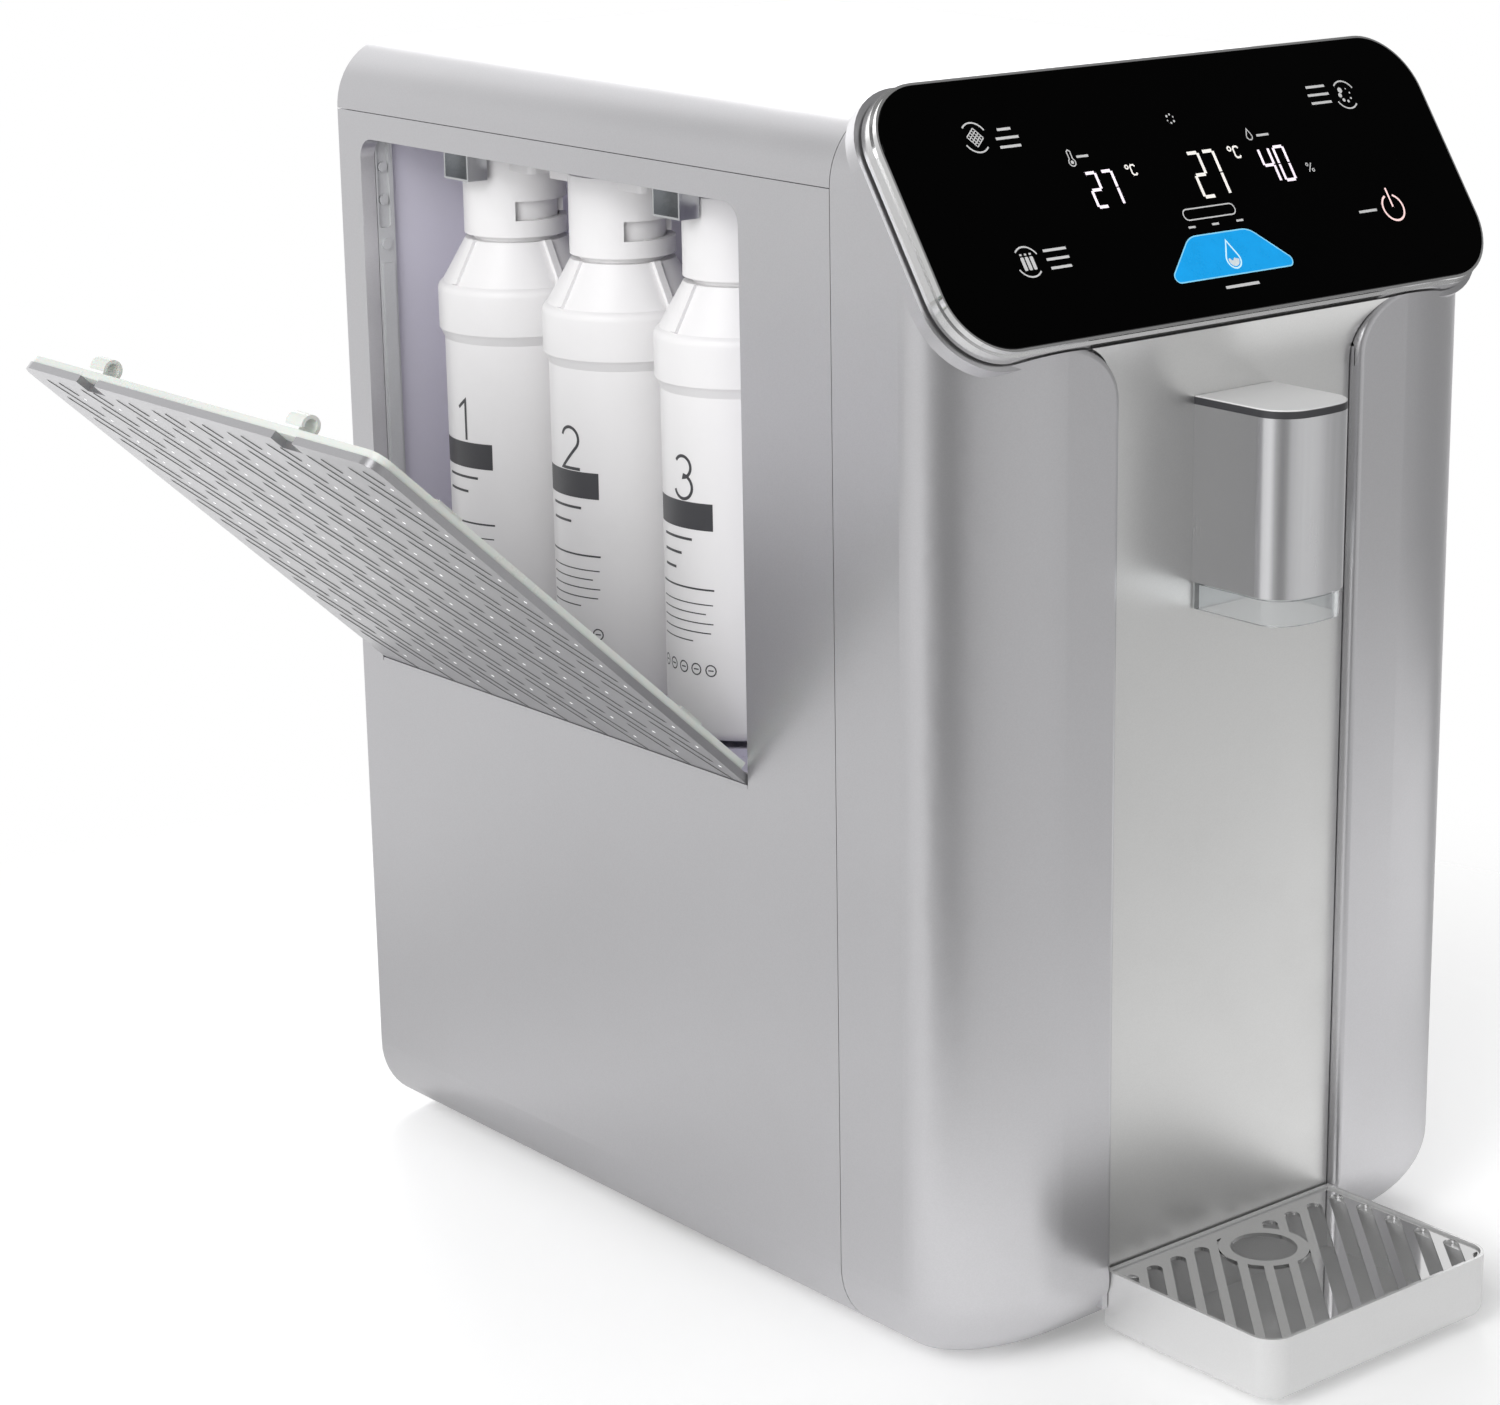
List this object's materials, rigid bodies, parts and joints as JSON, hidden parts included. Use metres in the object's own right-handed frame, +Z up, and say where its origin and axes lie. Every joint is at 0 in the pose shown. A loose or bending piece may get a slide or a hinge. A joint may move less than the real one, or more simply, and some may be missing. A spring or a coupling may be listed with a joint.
{
  "type": "countertop water dispenser",
  "caption": "Countertop air-to-water dispenser with a sloping display, spout and drip tray, and a side door open on its filter cartridges.",
  "frame": {"origin": "bottom centre of the box round the whole machine with its filter door open", "axes": "+Z up, -Y to the front where the spout is, -X to the side with the filter door"},
  "size_m": [0.4248, 0.448, 0.461],
  "materials": {
    "cabinet_silver": "satin metallic silver lacquer",
    "panel_silver": "semi-gloss metallic silver lacquer",
    "spout_silver": "semi-gloss metallic silver lacquer",
    "display_silver": "satin metallic silver lacquer",
    "chrome_trim": "bright plated",
    "black_glass": "polished, printed black from behind",
    "clear_plastic": "clear, icy",
    "tray_silver": "satin metallic silver lacquer",
    "door_silver": "satin metallic silver lacquer with shallow grooves",
    "door_rim": "pale translucent",
    "steel": "plain sheet metal",
    "liner_lavender": "satin, pale lavender",
    "filter_white": "semi-gloss white",
    "dark_plastic": "fine grain",
    "foot_rubber": "matte",
    "tank_plastic": "milky, semi-translucent",
    "compressor_black": "gloss black",
    "copper": "drawn tube",
    "board_green": "coated",
    "lamp_glass": "polished",
    "filter_mesh": "pleated nonwoven"
  },
  "bodies": {
    "cabinet": {"side_panel_left": "cabinet_silver", "side_panel_right": "cabinet_silver", "top_cover": "cabinet_silver", "front_bezel": "cabinet_silver", "centre_panel": "panel_silver", "spout_housing": "spout_silver", "display_housing": "display_silver", "display_trim": "chrome_trim", "spout_cap": "chrome_trim", "display_glass": "black_glass", "spout_skirt": "clear_plastic", "door_catch_front": "steel", "door_catch_rear": "steel", "filter_bracket": "steel", "fan_motor": "steel", "solenoid_valve": "steel", "power_supply": "steel", "evaporator": "steel", "condenser": "steel", "compartment_liner": "liner_lavender", "jamb_strip": "liner_lavender", "filter_head_1": "filter_white", "filter_head_2": "filter_white", "filter_head_3": "filter_white", "condensate_tray": "filter_white", "base_pan": "dark_plastic", "rear_panel": "dark_plastic", "fan_shroud": "dark_plastic", "power_inlet": "dark_plastic", "water_pump": "dark_plastic", "foot_front_left": "foot_rubber", "foot_front_right": "foot_rubber", "foot_rear_left": "foot_rubber", "foot_rear_right": "foot_rubber", "raw_water_tank": "tank_plastic", "raw_tank_lid": "tank_plastic", "clean_water_tank": "tank_plastic", "clean_tank_lid": "tank_plastic", "spout_nozzle": "tank_plastic", "compressor": "compressor_black", "suction_pipe": "copper", "discharge_pipe": "copper", "display_board": "board_green", "main_board": "board_green", "uv_lamp": "lamp_glass"},
    "door": {"filter_door": "door_silver", "door_frame": "door_rim", "door_pin_front": "steel", "door_pin_rear": "steel"},
    "tray": {"drip_tray": "tray_silver"},
    "grille": {"drip_grille": "chrome_trim"},
    "cartridge_1": {"filter_cartridge_1": "filter_white"},
    "cartridge_2": {"filter_cartridge_2": "filter_white"},
    "cartridge_3": {"filter_cartridge_3": "filter_white"},
    "fan": {"fan_rotor": "dark_plastic"},
    "intake": {"air_grille": "dark_plastic", "air_filter": "filter_mesh"},
    "plug": {"drain_plug": "dark_plastic"},
    "float": {"level_float": "filter_white"}
  },
  "joints": [
    {"name": "door_hinge", "type": "hinge", "parent": "cabinet", "child": "door", "pos_m": [-0.05654, 0.08975, 0.2066], "axis": [0, 1, 0], "range_deg": [0, 47.6]},
    {"name": "tray_slide", "type": "slide", "parent": "cabinet", "child": "tray", "axis": [0, -1, 0], "range_m": [0, 0.06]},
    {"name": "grille_lift", "type": "slide", "parent": "tray", "child": "grille", "axis": [0, 0, 1], "range_m": [0, 0.03]},
    {"name": "cartridge_1_turn", "type": "hinge", "parent": "cabinet", "child": "cartridge_1", "pos_m": [-0.01784, 0.163, 0.3], "axis": [0, 0, -1], "range_deg": [0, 90]},
    {"name": "cartridge_2_turn", "type": "hinge", "parent": "cabinet", "child": "cartridge_2", "pos_m": [-0.01784, 0.093, 0.3], "axis": [0, 0, -1], "range_deg": [0, 90]},
    {"name": "cartridge_3_turn", "type": "hinge", "parent": "cabinet", "child": "cartridge_3", "pos_m": [-0.01784, 0.023, 0.3], "axis": [0, 0, -1], "range_deg": [0, 90]},
    {"name": "fan_spin", "type": "hinge", "parent": "cabinet", "child": "fan", "pos_m": [0.11416, 0.122, 0.336], "axis": [0, 1, 0], "continuous": true},
    {"name": "intake_slide", "type": "slide", "parent": "cabinet", "child": "intake", "axis": [0, 1, 0], "range_m": [0, 0.05]},
    {"name": "plug_turn", "type": "hinge", "parent": "cabinet", "child": "plug", "pos_m": [0.03616, 0.211, 0.03], "axis": [0, 1, 0], "range_deg": [0, 90]},
    {"name": "float_slide", "type": "slide", "parent": "cabinet", "child": "float", "axis": [0, 0, 1], "range_m": [0, 0.1]}
  ]
}
